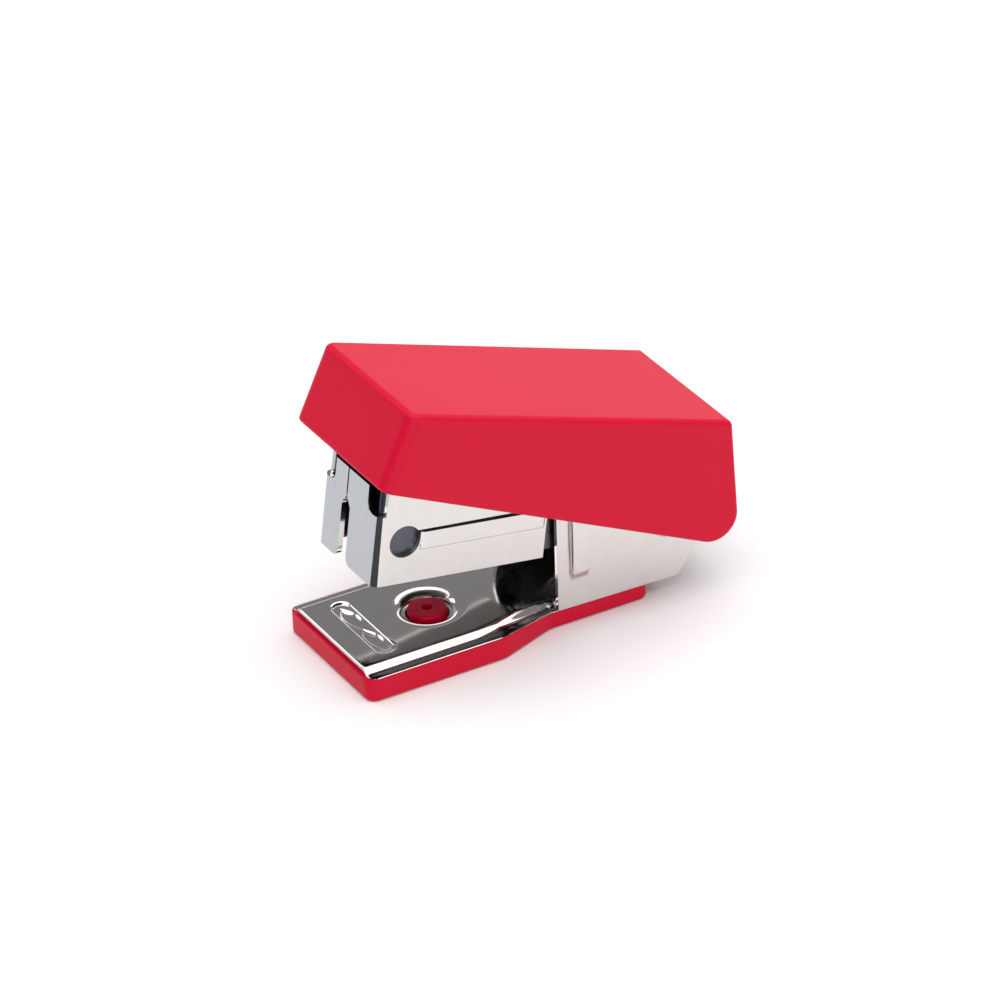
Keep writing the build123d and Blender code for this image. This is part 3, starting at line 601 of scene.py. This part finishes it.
def casingSide(side, c=casing):
    # s runs along the sheet from the rear edge, round the bend, to the seam
    straight = c["rear"] - c["front"] - c["corner"]
    tabStart = straight + c["corner"] * pi / 2
    seamAt = tabStart + c["halfWidth"] - c["corner"] - side * c["seamY"]
    holeS = c["rear"] - c["holeU"]
    holeRear, holeFront = holeS - c["hole"], holeS + c["hole"]
    notchRear = straight + c["corner"] - c["notchBack"]
    notchFront = tabStart + c["halfWidth"] - c["corner"] - c["notchInner"]
    s = np.concatenate([
        np.linspace(0, 0.5, 6),
        np.linspace(0.7, holeRear - 0.02, 50),
        holeS - c["hole"] * np.cos(np.linspace(0, pi, 41)),
        np.linspace(holeFront + 0.03, notchRear - 0.02, 8),
        np.linspace(notchRear, tabStart, 17)[1:],
        np.linspace(tabStart + 0.1, notchFront - 0.02, 12),
        np.linspace(notchFront, seamAt - 1.2, 12),
        np.linspace(seamAt - 1.1, seamAt, 14),
    ])
    # the upper edge has the notch, the lower edge the tab's rounded corner
    (roundStart, roundEnd), (lowRise, highRise) = c["notchRound"], c["notchRoundRise"]
    notchPlaces = [
        notchRear - 0.021, notchRear + 0.05, notchFront - roundStart, notchFront - roundEnd,
        notchFront - 0.021, notchFront,
    ]
    notchHeights = [
        c["top"], c["notchBottom"] + c["notchBackLip"], c["notchBottom"], c["notchBottom"] + lowRise,
        c["notchBottom"] + highRise, c["top"],
    ]
    top = np.interp(s, notchPlaces, notchHeights)
    tabCorner = roundedDrop((s - seamAt + c["tabRound"]) / c["tabRound"])
    bottom = c["bottom"] + c["tabRise"] * tabCorner + c["tabLift"]
    # the hole and the slit part the side into a lower and an upper strip
    chord = np.sqrt(np.maximum(c["hole"] ** 2 - (s - holeS) ** 2, 0))
    inHole = (s >= holeRear) & (s <= holeFront)
    low = np.where(inHole, c["holeV"] - chord, np.where(s < holeRear, c["slitLow"], c["holeV"]))
    high = np.where(inHole, c["holeV"] + chord, c["holeV"])
    high = np.where(s < holeS - c["slitReach"], np.maximum(high, c["slitHigh"]), high)
    wave = 1 + c["slitWidening"] * smooth((holeRear - s) / c["slitLength"])
    high = np.where(s < holeRear, c["slitLow"] + (c["slitHigh"] - c["slitLow"]) * wave, high)
    gap = (high - low) > 0.005
    # heights across the lower strip, closer together round the crease
    bandLow, bandHigh = c["stripLow"] - c["stripBand"], c["stripLow"] + c["stripBand"]
    stripV = stops((c["bottom"], bandLow, 10), (bandLow, bandHigh, 16), (bandHigh, c["slitLow"], 8))
    blend = (stripV - c["bottom"]) / (c["slitLow"] - c["bottom"])
    behindHole = stripV[None, :] + (bottom - c["bottom"])[:, None] * (1 - blend)[None, :]
    elsewhere = bottom[:, None] + (low - bottom)[:, None] * blend[None, :]
    lowerV = np.where((s < holeRear)[:, None], behindHole, elsewhere)
    upperV = high[:, None] + (top - high)[:, None] * stops((0, 1, 22))[None, :]

    def skin(v, inset):
        # straight side, quarter circle, then the tab; a raised strip with a fine crease under it
        wide = np.repeat(s[:, None], v.shape[1], 1)
        angle = np.clip((wide - straight) / c["corner"], 0, pi / 2)
        slotEnds = [c["slotTop"] + step for step in c["slotRamp"]]
        slotHalf = np.interp(v, slotEnds, [c["slot"], c["seam"]])
        across = np.clip(wide - tabStart, 0, None) * (seamAt - slotHalf - tabStart) / (seamAt - tabStart)
        radius = c["corner"] - inset
        u = np.where(wide < straight, c["rear"] - wide, c["front"] + c["corner"] - radius * np.sin(angle))
        y = (c["halfWidth"] - c["corner"]) + radius * np.cos(angle) - across
        frontEnd = smooth((holeRear + 0.05 - wide) / c["stripFrontRamp"])
        reach = frontEnd * smooth((wide - c["stripRearStart"]) / c["stripRearRamp"])
        strip = smooth((v - c["stripLow"]) / c["stripEdge"]) * (v <= c["slitLow"] + 0.001)
        crease = np.exp(-((v - c["stripLow"]) / c["creaseWidth"]) ** 2) * (v <= c["slitLow"])
        y = y + reach * (c["stripRise"] * strip - c["crease"] * crease)
        return tilted(u, side * y, v)

    # the strips are open towards each other where the side has no gap
    whole = ~(gap[:-1] | gap[1:])
    lower = shell(skin(lowerV, 0.0), skin(lowerV, c["sheet"]), skipRims=(None, whole))
    upper = shell(skin(upperV, 0.0), skin(upperV, c["sheet"]), skipRims=(whole, None))
    return joined(lower, upper)


def casingFloor(c=casing):
    # a flat sheet between the sides, a little crowned across its width
    rows, columns, edge = c["floorRows"], c["floorColumns"], c["halfWidth"] - c["floorInset"]
    u = np.linspace(c["floorFront"], c["rear"], rows)[:, None] + np.zeros((1, columns))
    y = np.zeros((rows, 1)) + np.linspace(-edge, edge, columns)[None, :]
    v = c["bottom"] + c["floorLift"] + c["floorCrown"] * (y / c["halfWidth"]) ** 2
    return shell(tilted(u, y, v), tilted(u, y, v + c["sheet"] - c["floorThinning"]))


def addCasing():
    sides = joined(casingSide(-1), casingSide(1))
    # the sides' inner skin takes the dark plate as painted shade
    piece = buildPiece("foldedCasing", *sides, plated, bevel=casing["bevel"], innerMaterial=insideShade)
    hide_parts("magazine_casing")
    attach(piece, "magazine")
    # the floor is all painted shade, the same dark plate
    floor = buildPiece("casingFloor", *casingFloor(), insideShade, bevel=casing["bevel"])
    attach(floor, "magazine")


addCasing()
print("casing ready")


# springs: two bent leaves and a coil, each reaching from one moving part to another

leaves = {
    "sheet": 0.4, "halfWidth": 3.4, "steps": 14, "columns": 7,
    # a leaf starts at (along, up) with a heading in degrees; its runs are (length, 0) or (radius, turn)
    "lift": {
        "tilt": 0.0, "pivot": (0.0, 0.0), "start": (20.0, 2.9), "heading": 180.0,
        "runs": [(3.2, 0), (3.0, -36), (9.0, 0), (1.5, 55)],
    },
    "return": {
        "tilt": 25.8, "pivot": (20.7, 10.5), "start": (-1.0, 9.653), "heading": 187.53,
        "runs": [(5.043, 0), (1.5, 47), (6.6, 0), (1.2, -70)],
    },
}


def leafPath(leaf):
    # short chords end to end, each turned by its share of the run's bend: 2 r sin(turn / 2) long on an arc
    steps = leaves["steps"]
    bends = np.repeat([radians(turn) / steps for _, turn in leaf["runs"]], steps)
    sizes = np.repeat([size if turn else size / steps for size, turn in leaf["runs"]], steps)
    chords = np.where(bends == 0, sizes, 2 * sizes * np.sin(np.abs(bends) / 2))
    ends = radians(leaf["heading"]) + np.cumsum(bends)
    ways = ends - bends / 2
    moves = chords[:, None] * np.stack([np.cos(ways), np.sin(ways)], 1)
    points = np.array(leaf["start"]) + np.concatenate([[(0, 0)], np.cumsum(moves, 0)])
    return points, np.concatenate([[radians(leaf["heading"])], ends])


def addLeaf(name, leaf, node):
    # a strip of constant width and thickness along the path; its bent arm lies between the two bodies
    points, headings = leafPath(leaf)
    y = np.linspace(-leaves["halfWidth"], leaves["halfWidth"], leaves["columns"])[None, :]
    away = np.stack([-np.sin(headings), np.cos(headings)], 1) * leaves["sheet"] / 2
    skins = []
    for line in (points + away, points - away):
        u, v = (line[:, k:k + 1] + 0 * y for k in (0, 1))
        skins.append(tilted(u, y + 0 * u, v, leaf))
    piece = buildPiece(name, *shell(*skins), spring)
    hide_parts(node)
    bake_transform(piece)


coil = {
    "front": -27.9, "rear": -13.5, "v": 3.5, "radius": 1.2, "wire": 0.2, "turns": 11,
    "pressed": 4.6,   # length with the pusher right back
    "turnSteps": 26, "ringPoints": 8,
}


def addCoil(c=coil):
    # a round wire along a helix: (length * t, radius * cos, radius * sin), its ring square to the wire
    length = c["rear"] - c["front"]
    t = np.linspace(0, 1, c["turns"] * c["turnSteps"] + 1)[None, :, None]
    angle = 2 * pi * c["turns"] * t
    nothing = np.zeros_like(angle)
    radial = np.concatenate([nothing, np.cos(angle), np.sin(angle)], -1)
    turning = np.concatenate([nothing, -np.sin(angle), np.cos(angle)], -1)
    along = np.array([length, 0, 0]) + turning * 2 * pi * c["turns"] * c["radius"]
    binormal = np.cross(along / np.linalg.norm(along, axis=-1, keepdims=True), radial)
    axisPoint = np.array([c["front"], 0, c["v"]]) + np.concatenate([length * t, nothing, nothing], -1)
    centre = axisPoint + radial * c["radius"]
    ring = np.linspace(0, 2 * pi, c["ringPoints"], endpoint=False)[:, None, None]
    tube = centre + c["wire"] * (np.cos(ring) * radial + np.sin(ring) * binormal)
    vertices = tilted(*np.moveaxis(tube, -1, 0)).reshape(-1, 3)
    count = tube.shape[1]
    frontEnd = np.arange(c["ringPoints"]) * count
    faces = [*gridFaces(c["ringPoints"], count, closed=True), frontEnd, frontEnd + count - 1]
    piece = buildPiece("pressingCoil", vertices, faces, None, spring)
    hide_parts("pusher_spring")
    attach(piece, "magazine")
    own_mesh(piece)


addLeaf("liftLeaf", leaves["lift"], "lift_spring")
addLeaf("returnLeaf", leaves["return"], "return_spring")
addCoil()
print("springs ready")
